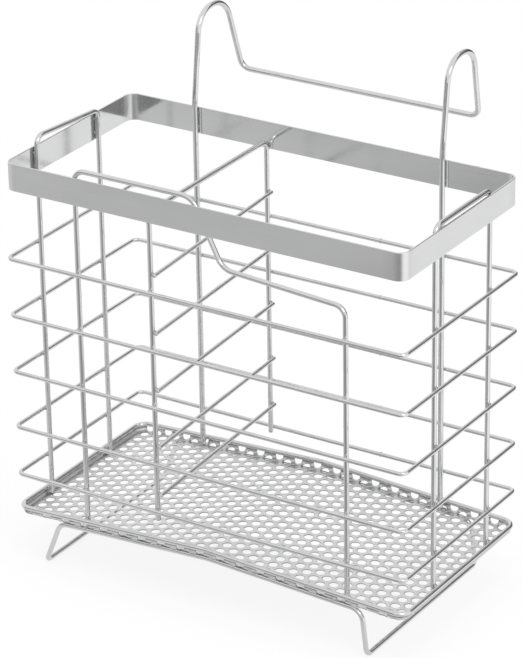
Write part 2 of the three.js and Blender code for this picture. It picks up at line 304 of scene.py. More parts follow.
def end_shaping(tree, shape, finish):
    """Ends a tree in real geometry with its finish on it."""
    real = put(tree, "GeometryNodeRealizeInstances", {"Geometry": shape})
    coated = put(tree, "GeometryNodeSetMaterial", {"Geometry": real.outputs[0], "Material": finish})
    put(tree, "NodeGroupOutput", {0: coated.outputs[0]})
    return tree


def linked(obj):
    """Puts an object in the scene."""
    scene.collection.objects.link(obj)
    return obj


def shaped(seed, tree, sizes):
    """Runs a tree on a seed object and keeps the result as a plain mesh object."""
    modifier = seed.modifiers.new(tree.name, "NODES")
    modifier.node_group = tree
    for item in tree.interface.items_tree:
        if item.in_out == "INPUT" and item.name in sizes:
            modifier[item.identifier] = sizes[item.name]
    name = seed.name
    made = seed.evaluated_get(bpy.context.evaluated_depsgraph_get())
    mesh = bpy.data.meshes.new_from_object(made)
    seed.modifiers.remove(modifier)
    bpy.data.objects.remove(seed)
    mesh.name = name
    return linked(bpy.data.objects.new(name, mesh))


def kept(piece, slot, *nodes):
    """Puts a finished piece in the frame, in place of the nodes it stands for."""
    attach(piece, "root")
    if nodes:
        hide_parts(*nodes)
    return piece


# Routes
def bend_points(before, corner, after, bend):
    """Points round one bend between two straight runs."""
    back = (before - corner).normalized()
    ahead = (after - corner).normalized()
    half = back.angle(ahead) / 2
    centre = corner + (back + ahead).normalized() * (bend / math.sin(half))
    spoke = corner + back * (bend / math.tan(half)) - centre
    last = corner + ahead * (bend / math.tan(half)) - centre
    axis = spoke.cross(last).normalized()
    sweep = math.pi - 2 * half
    steps = max(LEAST_BEND_STEPS, math.ceil(sweep / BEND_STEP))
    return [centre + Matrix.Rotation(sweep * s / steps, 3, axis) @ spoke for s in range(steps + 1)]


def routed(corners):
    """Points along a route of corners, each with its bend; a bend of 0 is an end."""
    points = []
    for place, (corner, bend) in enumerate(corners):
        if bend == 0:
            points.append(corner.copy())
        else:
            before = corners[place - 1][0]
            after = corners[(place + 1) % len(corners)][0]
            points += bend_points(before, corner, after, bend)
    return points


def steadied(points, closed):
    """Adds a point close to both ends of each straight run, so that the run shades as straight."""
    full = []
    for place, point in enumerate(points):
        full.append(point)
        if closed or place + 1 < len(points):
            following = points[(place + 1) % len(points)]
            run = following - point
            if run.length > SHORTEST_RUN:
                full.append(point + run.normalized() * RUN_END)
                full.append(following - run.normalized() * RUN_END)
    return full


def with_cut_ends(points):
    """Adds the small chamfer of a cropped wire's ends, and gives the taper at every point."""
    first = points[0] + (points[1] - points[0]).normalized() * END_CUT
    last = points[-1] + (points[-2] - points[-1]).normalized() * END_CUT
    full = [points[0], first] + points[1:-1] + [last, points[-1]]
    return full, [END_TAPER] + [1.0] * (len(full) - 2) + [END_TAPER]


def route_curve(name, points, tapers, closed):
    """A curve object along a route, with the stock's taper at each point."""
    data = bpy.data.curves.new(name, "CURVE")
    data.dimensions = "3D"
    spline = data.splines.new("POLY")
    spline.points.add(len(points) - 1)
    for knot, point, taper in zip(spline.points, points, tapers):
        knot.co = (*point, 1)
        knot.radius = taper
    spline.use_cyclic_u = closed
    return linked(bpy.data.objects.new(name, data))


def untapered(name, points):
    """A closed curve object of even stock."""
    return route_curve(name, points, [1.0] * len(points), True)


def rectangle(half_x, half_y, level, bend, middle_y):
    """The four corners of a level loop, with their bend."""
    corners = []
    for side_x, side_y in FOUR_CORNERS:
        corners.append((Vector((side_x * half_x, middle_y + side_y * half_y, level)), bend))
    return corners


# Geometry Nodes: stock drawn or rolled along its route
def captured(tree, shape, kind, label, field):
    """Keeps a field on a curve, to be read after the sweep."""
    node = tree.nodes.new("GeometryNodeCaptureAttribute")
    node.capture_items.new(kind, label)
    tree.links.new(shape, node.inputs[0])
    tree.links.new(field, node.inputs[1])
    return node.outputs


def swept(tree, path, outline, grain_name, taper):
    """Sweeps an outline along a path, and stores where each point lies across and along the stock."""
    length = put(tree, "GeometryNodeSplineParameter").outputs["Length"]
    route = captured(tree, path, "FLOAT", "Along", length)
    position = put(tree, "GeometryNodeInputPosition").outputs[0]
    section = captured(tree, outline, "VECTOR", "Across", position)
    stock = put(tree, "GeometryNodeCurveToMesh",
                {"Curve": route[0], "Profile Curve": section[0], "Scale": taper, "Fill Caps": True})
    across = split(tree, section[1])
    grain = joined(tree, X=across["X"], Y=across["Y"], Z=route[1])
    marked = put(tree, "GeometryNodeStoreNamedAttribute",
                 {"Geometry": stock.outputs[0], "Name": grain_name},
                 data_type="FLOAT_VECTOR", domain="POINT")
    tree.links.new(grain, marked.inputs["Value"])
    return put(tree, "GeometryNodeSetShadeSmooth", {"Geometry": marked.outputs[0]}).outputs[0]


def wire_shaping():
    """Round wire drawn along a route, thinner where the route tapers."""
    tree, given = new_shaping("drawn_wire", ["Wire radius"], ["Sides"])
    circle = put(tree, "GeometryNodeCurvePrimitiveCircle",
                 {"Resolution": given["Sides"], "Radius": given["Wire radius"]})
    taper = put(tree, "GeometryNodeInputRadius").outputs[0]
    wire = swept(tree, given["Geometry"], circle.outputs["Curve"], "drawn_grain", taper)
    return end_shaping(tree, wire, given["Finish"])


def strip_shaping():
    """Flat strip with eased edges, on edge along a level route."""
    tree, given = new_shaping("rolled_strip", ["Thickness", "Height", "Edge"], ["Edge steps"])
    upright = put(tree, "GeometryNodeSetCurveNormal", {"Curve": given["Geometry"]}, mode="Z_UP")
    flat = put(tree, "GeometryNodeCurvePrimitiveQuadrilateral",
               {"Width": given["Thickness"], "Height": given["Height"]}, mode="RECTANGLE")
    eased = put(tree, "GeometryNodeFilletCurve",
                {"Curve": flat.outputs[0], "Radius": given["Edge"], "Count": given["Edge steps"]},
                mode="POLY")
    strip = swept(tree, upright.outputs[0], eased.outputs[0], "rolled_grain", 1.0)
    return end_shaping(tree, strip, given["Finish"])


# Geometry Nodes: a flat blank pierced by a staggered lattice of round holes with rolled-over edges
def staggered_lattice(tree, given):
    """The middles of the holes, with every other column half a pitch along."""
    long_steps = reckon(tree, "SUBTRACT", given["Columns"], 1)
    deep_steps = reckon(tree, "SUBTRACT", given["Rows"], 1)
    lattice = put(tree, "GeometryNodeMeshGrid",
                  {"Size X": reckon(tree, "MULTIPLY", long_steps, given["Column pitch"]),
                   "Size Y": reckon(tree, "MULTIPLY", deep_steps, given["Pitch"]),
                   "Vertices X": given["Columns"], "Vertices Y": given["Rows"]})
    place = split(tree, put(tree, "GeometryNodeInputPosition").outputs[0])
    column = reckon(tree, "FLOOR", reckon(tree, "DIVIDE", place["X"], given["Column pitch"]))
    odd = reckon(tree, "FLOORED_MODULO", column, 2)
    shift = reckon(tree, "MULTIPLY", odd, reckon(tree, "MULTIPLY", given["Pitch"], 0.5))
    return put(tree, "GeometryNodeSetPosition",
               {"Geometry": lattice.outputs[0], "Offset": joined(tree, Y=shift)}).outputs[0]


def beyond_outline(tree, given):
    """How far a hole's middle lies beyond the blank's rounded outline; inside it is below 0."""
    place = split(tree, put(tree, "GeometryNodeInputPosition").outputs[0])
    past = []
    for axis, half in (("X", "Half length"), ("Y", "Half depth")):
        inner = reckon(tree, "SUBTRACT", given[half], given["Corner"])
        past.append(reckon(tree, "SUBTRACT", reckon(tree, "ABSOLUTE", place[axis]), inner))
    round_x = reckon(tree, "POWER", reckon(tree, "MAXIMUM", past[0], 0), 2)
    round_y = reckon(tree, "POWER", reckon(tree, "MAXIMUM", past[1], 0), 2)
    outside = reckon(tree, "SQRT", reckon(tree, "ADD", round_x, round_y))
    inside = reckon(tree, "MINIMUM", reckon(tree, "MAXIMUM", past[0], past[1]), 0)
    return reckon(tree, "SUBTRACT", reckon(tree, "ADD", outside, inside), given["Corner"])


def perforated_shaping():
    """Fills an outline round its holes, and sews a rolled edge into each hole."""
    measures = ["Hole", "Pitch", "Column pitch", "Half length", "Half depth", "Corner", "Edge",
                "Roll", "Roll depth", "Sewing reach"]
    tree, given = new_shaping("perforated_blank", measures, ["Hole sides", "Columns", "Rows"])
    middles = staggered_lattice(tree, given)
    hole_radius = reckon(tree, "MULTIPLY", given["Hole"], 0.5)
    roll_radius = reckon(tree, "ADD", hole_radius, given["Roll"])
    room = reckon(tree, "ADD", roll_radius, given["Edge"])
    whole = reckon(tree, "LESS_THAN", beyond_outline(tree, given), reckon(tree, "MULTIPLY", room, -1))
    circle = put(tree, "GeometryNodeCurvePrimitiveCircle",
                 {"Resolution": given["Hole sides"], "Radius": roll_radius})
    roll = put(tree, "GeometryNodeMeshCone",
               {"Vertices": given["Hole sides"], "Side Segments": 1, "Radius Top": roll_radius,
                "Radius Bottom": hole_radius, "Depth": given["Roll depth"]}, fill_type="NONE")
    sink = joined(tree, Z=reckon(tree, "MULTIPLY", given["Roll depth"], -1))
    sunk = put(tree, "GeometryNodeTransform", {"Geometry": roll.outputs[0], "Translation": sink})
    outlines = put(tree, "GeometryNodeJoinGeometry")
    pierced = put(tree, "GeometryNodeJoinGeometry")
    for shape, meeting in ((circle, outlines), (sunk, pierced)):
        spaced = put(tree, "GeometryNodeInstanceOnPoints",
                     {"Points": middles, "Selection": whole, "Instance": shape.outputs[0]})
        real = put(tree, "GeometryNodeRealizeInstances", {0: spaced.outputs[0]})
        tree.links.new(real.outputs[0], meeting.inputs[0])
    tree.links.new(given["Geometry"], outlines.inputs[0])
    blank = put(tree, "GeometryNodeFillCurve", {"Curve": outlines.outputs[0]})
    tree.links.new(blank.outputs[0], pierced.inputs[0])
    sewn = put(tree, "GeometryNodeMergeByDistance",
               {"Geometry": pierced.outputs[0], "Distance": given["Sewing reach"]})
    return end_shaping(tree, sewn.outputs[0], given["Finish"])


# Geometry Nodes: small weld beads on marked points
def marked_field(tree, name, kind):
    """A field that was stored on the points."""
    return put(tree, "GeometryNodeInputNamedAttribute", {"Name": name}, data_type=kind).outputs[0]


def weld_shaping():
    """A flattened, slightly uneven bead on each point, turned to its joint."""
    sides = {"X": "Length", "Y": "Width", "Z": "Thickness"}
    counts = ["Segments", "Rings", "Seed"]
    tree, given = new_shaping("weld_beads", [*sides.values(), "Unevenness"], counts)
    drop = put(tree, "GeometryNodeMeshUVSphere",
               {"Segments": given["Segments"], "Rings": given["Rings"], "Radius": 1.0})
    turn = put(tree, "FunctionNodeAxesToRotation", primary_axis="Z", secondary_axis="X")
    tree.links.new(marked_field(tree, "weld_facing", "FLOAT_VECTOR"), turn.inputs[0])
    tree.links.new(marked_field(tree, "weld_run", "FLOAT_VECTOR"), turn.inputs[1])
    least = reckon(tree, "SUBTRACT", 1.0, given["Unevenness"])
    most = reckon(tree, "ADD", 1.0, given["Unevenness"])
    uneven = put(tree, "FunctionNodeRandomValue", {2: least, 3: most, "Seed": given["Seed"]},
                 data_type="FLOAT")
    grown = reckon(tree, "MULTIPLY", uneven.outputs[1], marked_field(tree, "weld_size", "FLOAT"))
    lens = {axis: reckon(tree, "MULTIPLY", given[side], grown) for axis, side in sides.items()}
    beads = put(tree, "GeometryNodeInstanceOnPoints",
                {"Points": given["Geometry"], "Instance": drop.outputs[0],
                 "Rotation": turn.outputs[0], "Scale": joined(tree, **lens)})
    smooth = put(tree, "GeometryNodeSetShadeSmooth", {"Geometry": beads.outputs[0]})
    return end_shaping(tree, smooth.outputs[0], given["Finish"])


# Finishes
def new_surface(name):
    """A material with an empty node tree."""
    surface = bpy.data.materials.new(name)
    surface.use_nodes = True
    surface.node_tree.nodes.clear()
    return surface, surface.node_tree


def new_metal(name):
    """A metal finish, to be given its colour, roughness and relief."""
    finish, tree = new_surface(name)
    metal = put(tree, "ShaderNodeBsdfPrincipled", {"Metallic": 1.0})
    put(tree, "ShaderNodeOutputMaterial", {"Surface": metal.outputs[0]})
    return finish, tree, metal


def noise(tree, vector, stretch, detail=3.0, roughness=0.5):
    """Noise on a stretched coordinate."""
    mapped = put(tree, "ShaderNodeMapping", {"Vector": vector, "Scale": stretch}).outputs[0]
    pattern = {"Scale": 1.0, "Detail": detail, "Roughness": roughness}
    return put(tree, "ShaderNodeTexNoise", {"Vector": mapped, **pattern}).outputs[0]


def blended(tree, first, second, share):
    """Two fields together, the first by its share and the second by the rest."""
    kept_first = reckon(tree, "MULTIPLY", first, share)
    return reckon(tree, "ADD", kept_first, reckon(tree, "MULTIPLY", second, 1 - share))


def spread(tree, field, low, high):
    """Brings a noise field to a range."""
    return ramped(tree, field, NOISE_LOW, NOISE_HIGH, low, high)


def shade(tree, field, dark, light):
    """A colour between two shades of one metal."""
    ramp = put(tree, "ShaderNodeValToRGB", {0: field})
    ends = ((NOISE_LOW, dark), (NOISE_HIGH, light))
    for element, (position, colour) in zip(ramp.color_ramp.elements, ends):
        element.position = position
        element.color = (*colour, 1)
    return ramp.outputs[0]


def mixed_colour(tree, share, first, second):
    """A colour that goes from the first to the second by a share."""
    return put(tree, "ShaderNodeMix", {0: share, 6: first, 7: second}, data_type="RGBA").outputs[2]


def coat(tree, metal, colour, roughness, height, relief):
    """Gives a metal its colour, roughness and relief."""
    strength, depth = relief
    bump = put(tree, "ShaderNodeBump", {"Height": height, "Strength": strength, "Distance": depth})
    tree.links.new(colour, metal.inputs["Base Color"])
    tree.links.new(roughness, metal.inputs["Roughness"])
    tree.links.new(bump.outputs[0], metal.inputs["Normal"])


def polished_wire_finish():
    """Drawn and polished wire: fine lengthwise die lines and faint cloudy patches."""
    finish, tree, metal = new_metal("polished_wire")
    grain = put(tree, "ShaderNodeAttribute", attribute_name="drawn_grain").outputs["Vector"]
    place = put(tree, "ShaderNodeTexCoord").outputs["Object"]
    lines = noise(tree, grain, DIE_LINES)
    mixed = blended(tree, lines, noise(tree, place, WIRE_CLOUDS), DIE_LINE_SHARE)
    colour = shade(tree, mixed, WIRE_DARK, WIRE_LIGHT)
    coat(tree, metal, colour, spread(tree, mixed, *WIRE_ROUGHNESS), lines, DIE_LINE_RELIEF)
    return finish


def weld_finish():
    """Weld metal: duller, slightly straw-coloured and pitted."""
    finish, tree, metal = new_metal("weld_metal")
    place = put(tree, "ShaderNodeTexCoord").outputs["Object"]
    pits = noise(tree, place, WELD_PITS)
    colour = shade(tree, noise(tree, place, WELD_TINTS), WELD_DARK, WELD_LIGHT)
    coat(tree, metal, colour, spread(tree, pits, *WELD_ROUGHNESS), pits, WELD_PIT_RELIEF)
    return finish


def bright_strip_finish(straight_x, straight_y):
    """Bright rolled strip: lengthwise roll lines and soft patches, dulled round its bent corners."""
    finish, tree, metal = new_metal("bright_strip")
    grain = put(tree, "ShaderNodeAttribute", attribute_name="rolled_grain").outputs["Vector"]
    place = put(tree, "ShaderNodeTexCoord").outputs["Object"]
    lines = noise(tree, grain, ROLL_LINES)
    mixed = blended(tree, lines, noise(tree, place, STRIP_CLOUDS), ROLL_LINE_SHARE)
    sides = split(tree, place)
    past_x = reckon(tree, "SUBTRACT", apart(tree, sides["X"], 0), straight_x)
    past_y = reckon(tree, "SUBTRACT", apart(tree, sides["Y"], body_y), straight_y)
    bent = ramped(tree, reckon(tree, "MINIMUM", past_x, past_y), BENT_FROM, BENT_TO)
    dulled = reckon(tree, "MULTIPLY", bent, BENT_DULLNESS)
    roughness = reckon(tree, "ADD", spread(tree, mixed, *STRIP_ROUGHNESS), dulled)
    colour = shade(tree, mixed, STRIP_DARK, STRIP_LIGHT)
    coat(tree, metal, colour, roughness, lines, ROLL_LINE_RELIEF)
    return finish


def perforated_sheet_finish(seam_shade_low, seam_shade_high):
    """Satin punched sheet: grain and patches, a dark burr with painted shade on the rolled hole edges,
    and painted shade blotched into the crease below the rim wire.
    """
    finish, tree, metal = new_metal("perforated_sheet")
    place = put(tree, "ShaderNodeTexCoord").outputs["Object"]
    grain = noise(tree, place, SHEET_GRAIN)
    mixed = blended(tree, grain, noise(tree, place, SHEET_CLOUDS), SHEET_GRAIN_SHARE)
    flecks = noise(tree, place, SHEET_FLECKS, FLECK_DETAIL, FLECK_ROUGHNESS)
    worn = blended(tree, mixed, flecks, UNFLECKED_SHARE)
    clean = shade(tree, worn, SHEET_DARK, SHEET_LIGHT)
    blotches = noise(tree, place, BLOTCHES, BLOTCH_DETAIL)
    # A dark burr with painted shade round each hole, on its rolled edge
    sheared = put(tree, "ShaderNodeAttribute", attribute_name="punched_edge").outputs["Fac"]
    burr_and_shade = reckon(tree, "MULTIPLY", sheared, spread(tree, blotches, *BURR_AND_SHADE_AMOUNT))
    edged = mixed_colour(tree, burr_and_shade, clean, BURR_AND_SHADE_COLOUR)
    # Painted shade: darkens the sheet just below the rim wire, where the crease between lip and wire is
    # in shade
    sides = split(tree, place)
    fallen = reckon(tree, "MULTIPLY", apart(tree, sides["X"], 0), tray_slope)
    seam = ramped(tree, reckon(tree, "ADD", sides["Z"], fallen), seam_shade_low, seam_shade_high)
    colour = mixed_colour(tree, seam, edged, shade(tree, blotches, SEAM_SHADE_DARK, SEAM_SHADE_LIGHT))
    coat(tree, metal, colour, spread(tree, mixed, *SHEET_ROUGHNESS), grain, SHEET_GRAIN_RELIEF)
    return finish


# Wires
wire_finish = polished_wire_finish()
drawn_wire = wire_shaping()
legs = []
welds = []


def drawn(seed, wire):
    """Draws wire of a thickness along a seed curve."""
    return shaped(seed, drawn_wire,
                  {"Wire radius": wire / 2, "Sides": WIRE_SIDES, "Finish": wire_finish})


def open_wire(node, corners, wire):
    """A wire with two cut ends."""
    points, tapers = with_cut_ends(steadied(routed(corners), False))
    piece = drawn(route_curve(node + "_drawn", points, tapers, False), wire)
    piece.data.set_sharp_from_angle(angle=WIRE_CREASE)
    return kept(piece, "polished_wire", node)


def closed_wire(node, corners, wire):
    """A loop of wire that is butt welded at one place on its rear run."""
    points = steadied(routed(corners), True)
    rear = max(point.y for point in points) - SAME_RUN
    for seam in range(len(points)):
        start, end = points[seam - 1], points[seam]
        if min(start.y, end.y) > rear and min(start.x, end.x) < JOIN_X < max(start.x, end.x):
            break
    away = (end - start).normalized()
    joint = start.lerp(end, (JOIN_X - start.x) / (end.x - start.x))
    around = points[seam:] + points[:seam]
    points = [joint + away * JOIN_GAP / 2] + around + [joint - away * JOIN_GAP / 2]
    welds.append(Weld(joint, RIGHTWARD, UPWARD, wire / 2))
    return kept(drawn(untapered(node + "_drawn", points), wire), "polished_wire", node)


band_low, band_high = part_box("top_band")
rim_low, rim_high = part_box("tray_rim_wire")
foot_low, foot_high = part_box("foot_wire")
sheet_low, sheet_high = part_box("tray_sheet")
body_y = (band_low.y + band_high.y) / 2

# Rings
ring_levels = []
for node in RING_NAMES:
    low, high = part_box(node)
    ring_wire = high.z - low.z
    half_x = high.x - ring_wire / 2
    half_y = (high.y - low.y - ring_wire) / 2
    level = (low.z + high.z) / 2
    ring_levels.append(level)
    closed_wire(node, rectangle(half_x, half_y, level, RING_BEND, body_y), ring_wire)

# Side hoops
for node, tilt in (("left_side_hoop", LEFT_HOOP_TILT), ("right_side_hoop", 0)):
    low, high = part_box(node)
    leg_wire = high.x - low.x
    hoop_x = (low.x + high.x) / 2
    front_y = low.y + leg_wire / 2
    rear_y = high.y - leg_wire / 2
    top_z = high.z - leg_wire / 2
    open_wire(node, [(Vector((hoop_x, front_y, low.z)), 0),
                     (Vector((hoop_x, front_y, top_z)), HOOP_BEND),
                     (Vector((hoop_x, rear_y, top_z - tilt)), HOOP_BEND),
                     (Vector((hoop_x, rear_y, low.z)), 0)], leg_wire)
    outward = RIGHTWARD * math.copysign(1, hoop_x)
    for y in (front_y, rear_y):
        legs.append(Leg(Vector((hoop_x, y, low.z)), outward, leg_wire / 2, top_z))

# Front step wire
low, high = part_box("front_step_wire")
leg_wire = high.y - low.y
front_y = (low.y + high.y) / 2
left_x = low.x + leg_wire / 2
right_x = high.x - leg_wire / 2
high_run = high.z - leg_wire / 2
low_run = high_run - STEP_DROP
low_end = low_run - LOW_RUN_FALL
tray_slope = (rim_high.z - rim_low.z - leg_wire) / (rim_high.x - leg_wire / 2)
left_foot = Vector((left_x, front_y, low.z + tray_slope * (right_x + left_x)))
right_foot = Vector((right_x, front_y, low.z))
open_wire("front_step_wire",
          [(left_foot, 0),
           (Vector((left_x, front_y, high_run)), FRONT_BEND),
           (Vector((STEP_LEFT_X, front_y, high_run)), STEP_BEND),
           (Vector((STEP_RIGHT_X, front_y, low_run)), STEP_BEND),
           (Vector((right_x, front_y, low_end)), FRONT_BEND),
           (right_foot, 0)], leg_wire)
legs.append(Leg(left_foot, FORWARD, leg_wire / 2, high_run))
legs.append(Leg(right_foot, FORWARD, leg_wire / 2, low_end))

# Hook wire
low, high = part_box("hook_wire")
hook_x = high.x - HOOK_WIRE / 2
hook_y = low.y + HOOK_WIRE / 2
tail_y = high.y - HOOK_WIRE / 2
crown = high.z - HOOK_WIRE / 2
crown_front = hook_y + HOOK_LEAN
crown_rear = crown_front + HOOK_REACH
hook_corners = []
for side in (-1, 1):
    leg_x = side * hook_x
    foot = Vector((leg_x, hook_y, low.z))
    half_hook = [(foot, 0),
                 (Vector((leg_x, hook_y, band_high.z + LEAN_START)), LEAN_BEND),
                 (Vector((leg_x, crown_front, crown)), HOOK_BEND),
                 (Vector((leg_x, crown_rear, crown)), CROWN_BEND),
                 (Vector((side * (hook_x - TAIL_LEAN), tail_y, crown - CROSS_RUN_DROP)), TAIL_BEND)]
    hook_corners += half_hook if side < 0 else half_hook[::-1]
    legs.append(Leg(foot, REARWARD, HOOK_WIRE / 2, crown))
open_wire("hook_wire", hook_corners, HOOK_WIRE)

# Divider hoop
low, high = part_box("divider_hoop")
leg_wire = high.x - low.x
divider_x = (low.x + high.x) / 2
divider_front = low.y + leg_wire / 2
divider_rear = high.y - leg_wire / 2
divider_top = high.z - leg_wire / 2
open_wire("divider_hoop",
          [(Vector((divider_x, divider_front, low.z)), 0),
           (Vector((divider_x, divider_front, divider_top)), DIVIDER_BEND),
           (Vector((divider_x, divider_rear, divider_top)), DIVIDER_BEND),
           (Vector((divider_x, divider_rear, low.z + DIVIDER_REAR_LIFT)), 0)], leg_wire)
for y, outward in ((divider_front, FORWARD), (divider_rear, REARWARD)):
    legs.append(Leg(Vector((divider_x, y, low.z)), outward, leg_wire / 2, divider_top))

# Divider bars
for node in BAR_NAMES:
    low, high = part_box(node)
    bar_wire = high.x - low.x
    bar_x = (low.x + high.x) / 2
    front_end = Vector((bar_x, low.y, low.z + bar_wire / 2))
    rear_end = Vector((bar_x, high.y, high.z - bar_wire / 2))
    inset = (rear_end - front_end).normalized() * (bar_wire / 2 * BAR_INSET_SHARE)
    open_wire(node, [(front_end + inset, 0), (rear_end - inset, 0)], bar_wire)
    for y in (divider_front, divider_rear):
        on_bar = front_end.lerp(rear_end, (y - front_end.y) / (rear_end.y - front_end.y))
        on_leg = Vector((divider_x, y, on_bar.z))
        touch = on_leg.lerp(on_bar, BAR_WELD_SHARE)
        welds.append(Weld(touch, RIGHTWARD, REARWARD, bar_wire / 2))

# Tray rim
rim_wire = leg_wire
rim_x = rim_high.x - rim_wire / 2
rim_y = (rim_high.y - rim_low.y - rim_wire) / 2
rim_crease = rim_high.z - rim_wire / 2
rim_corners = []
for side_x, side_y in ((-1, -1), (0, -1), (1, -1), (1, 1), (0, 1), (-1, 1)):
    level = rim_crease - tray_slope * abs(side_x) * rim_x
    bend = RIM_BEND if side_x else CREASE_BEND
    rim_corners.append((Vector((side_x * rim_x, body_y + side_y * rim_y, level)), bend))
closed_wire("tray_rim_wire", rim_corners, rim_wire)

# Foot
left_skid_x = foot_low.x + FOOT_WIRE / 2
right_skid_x = foot_high.x - FOOT_WIRE / 2
skid_z = foot_low.z + FOOT_WIRE / 2
foot_y = (foot_high.y - foot_low.y - FOOT_WIRE) / 2
foot_crease = foot_high.z - FOOT_WIRE / 2
knee_z = foot_crease - tray_slope * KNEE_X
foot_corners = []
for side_y in (-1, 1):
    y = body_y + side_y * foot_y
    run = [(Vector((left_skid_x, y, skid_z)), SKID_BEND),
           (Vector((-KNEE_X, y, knee_z)), KNEE_BEND),
           (Vector((0, y, foot_crease)), CREASE_BEND),
           (Vector((KNEE_X, y, knee_z)), KNEE_BEND),
           (Vector((right_skid_x, y, skid_z)), SKID_BEND)]
    foot_corners += run if side_y < 0 else run[::-1]
closed_wire("foot_wire", foot_corners, FOOT_WIRE)


# Top band
def band_piece():
    """One strip on edge, bent into a rounded rectangle round the mouth."""
    half_x = band_high.x - STRIP / 2
    half_y = (band_high.y - band_low.y - STRIP) / 2
    middle = (band_low.z + band_high.z) / 2
    corners = rectangle(half_x, half_y, middle, STRIP_BEND - STRIP / 2, body_y)
    seed = untapered("top_band_rolled", steadied(routed(corners), True))
    finish = bright_strip_finish(half_x - STRIP_BEND, half_y - STRIP_BEND)
    piece = shaped(seed, strip_shaping(),
                   {"Thickness": STRIP, "Height": band_high.z - band_low.z, "Edge": STRIP_EDGE,
                    "Edge steps": STRIP_EDGE_STEPS, "Finish": finish})
    piece.data.set_sharp_from_angle(angle=STRIP_CREASE)
    return kept(piece, "bright_strip", "top_band")


band_piece()

# Tray: its floor reaches to the fold, and the lip goes on from there into the rim wire
floor_x = rim_x - FOLD
floor_y = rim_y - FOLD
floor_bend = RIM_BEND - FOLD
core_x = floor_x - floor_bend
core_y = floor_y - floor_bend
crease_z = sheet_low.z + tray_slope * sheet_high.x + SHEET / 2
fold_arc = FOLD * math.pi / 2
lip_reach = fold_arc + rim_crease + LIP_IN_WIRE - (crease_z + FOLD)


def tray_blank():
    """The flat pierced blank."""
    half_x = floor_x + lip_reach
    half_y = floor_y + lip_reach
    corner = floor_bend + lip_reach
    seed = untapered("tray_sheet_folded", routed(rectangle(half_x, half_y, 0, corner, 0)))
    # The finish paints shade into the crease just below the rim wire
    finish = perforated_sheet_finish(rim_crease - rim_wire * SEAM_SHADE_START,
                                     rim_crease - rim_wire * SEAM_SHADE_FULL)
    return shaped(seed, perforated_shaping(),
                  {"Hole": HOLE, "Hole sides": HOLE_SIDES, "Pitch": HOLE_PITCH,
                   "Column pitch": HOLE_PITCH * math.sqrt(3) / 2, "Columns": HOLE_COLUMNS,
                   "Rows": HOLE_ROWS, "Half length": half_x, "Half depth": half_y,
                   "Corner": corner, "Edge": HOLE_EDGE, "Roll": HOLE_ROLL,
                   "Roll depth": HOLE_ROLL_DEPTH, "Sewing reach": SEWING_REACH, "Finish": finish})


def cut_for_folding(shape):
    """Cuts a blank along its crease and folds, and finely in its corners."""
    lines = [(Vector((x, 0, 0)), RIGHTWARD) for x in CREASE_CUTS]
    for cut in [-FOLD_LEAD] + [fold_arc * step / FOLD_STEPS for step in range(FOLD_STEPS + 1)]:
        for side in (-1, 1):
            lines.append((Vector((side * (floor_x + cut), 0, 0)), RIGHTWARD))
            lines.append((Vector((0, side * (floor_y + cut), 0)), REARWARD))
    for point, normal in lines:
        geometry = shape.verts[:] + shape.edges[:] + shape.faces[:]
        bmesh.ops.bisect_plane(shape, geom=geometry, dist=CUT_REACH, plane_co=point, plane_no=normal)
    for again in range(CORNER_ROUNDS):
        long_edges = [edge for edge in shape.edges
                      if edge.calc_length() > CORNER_EDGE and all(in_corner(v.co) for v in edge.verts)]
        bmesh.ops.subdivide_edges(shape, edges=long_edges, cuts=1)
        many_sided = [face for face in shape.faces if len(face.verts) > 4]
        bmesh.ops.triangulate(shape, faces=many_sided)


def in_corner(flat):
    """Whether a point of the blank is in one of its four corners."""
    return abs(flat.x) > core_x - CORNER_MARGIN and abs(flat.y) > core_y - CORNER_MARGIN


def folded(flat):
    """Where a point of the flat blank comes to lie once the lip is turned up."""
    core = Vector((min(max(flat.x, -core_x), core_x), min(max(flat.y, -core_y), core_y), 0))
    place = Vector((flat.x, flat.y, 0))
    away = place - core
    past = away.length - floor_bend
    rise = flat.z
    if past > 0:
        turn = min(past / FOLD, math.pi / 2)
        radius = FOLD - flat.z
        rise = FOLD - radius * math.cos(turn) + max(past - fold_arc, 0)
        place = core + away.normalized() * (floor_bend + radius * math.sin(turn))
    fall = tray_slope * (math.hypot(place.x, CREASE_ROUND) - CREASE_ROUND)
    return Vector((place.x, place.y + body_y, crease_z + rise - fall))


def tray_piece():
    """Folds a pierced blank into the tray: a floor with a mid crease and an upturned lip."""
    piece = tray_blank()
    shape = bmesh.new()
    shape.from_mesh(piece.data)
    cut_for_folding(shape)
    punched = shape.verts.layers.float.new("punched_edge")
    for vert in shape.verts:
        vert[punched] = -vert.co.z / HOLE_ROLL_DEPTH
        vert.co = folded(vert.co)
    bmesh.ops.recalc_face_normals(shape, faces=shape.faces)
    shape.to_mesh(piece.data)
    shape.free()
    wall = piece.modifiers.new("sheet", "SOLIDIFY")
    wall.thickness = SHEET
    wall.offset = 0.0
    wall.use_even_offset = True
    made = piece.evaluated_get(bpy.context.evaluated_depsgraph_get())
    piece.data = bpy.data.meshes.new_from_object(made)
    piece.modifiers.remove(wall)
    piece.data.polygons.foreach_set("use_smooth", [True] * len(piece.data.polygons))
    piece.data.set_sharp_from_angle(angle=SHEET_CREASE)
    return kept(piece, "perforated_sheet", "tray_sheet")


tray_piece()


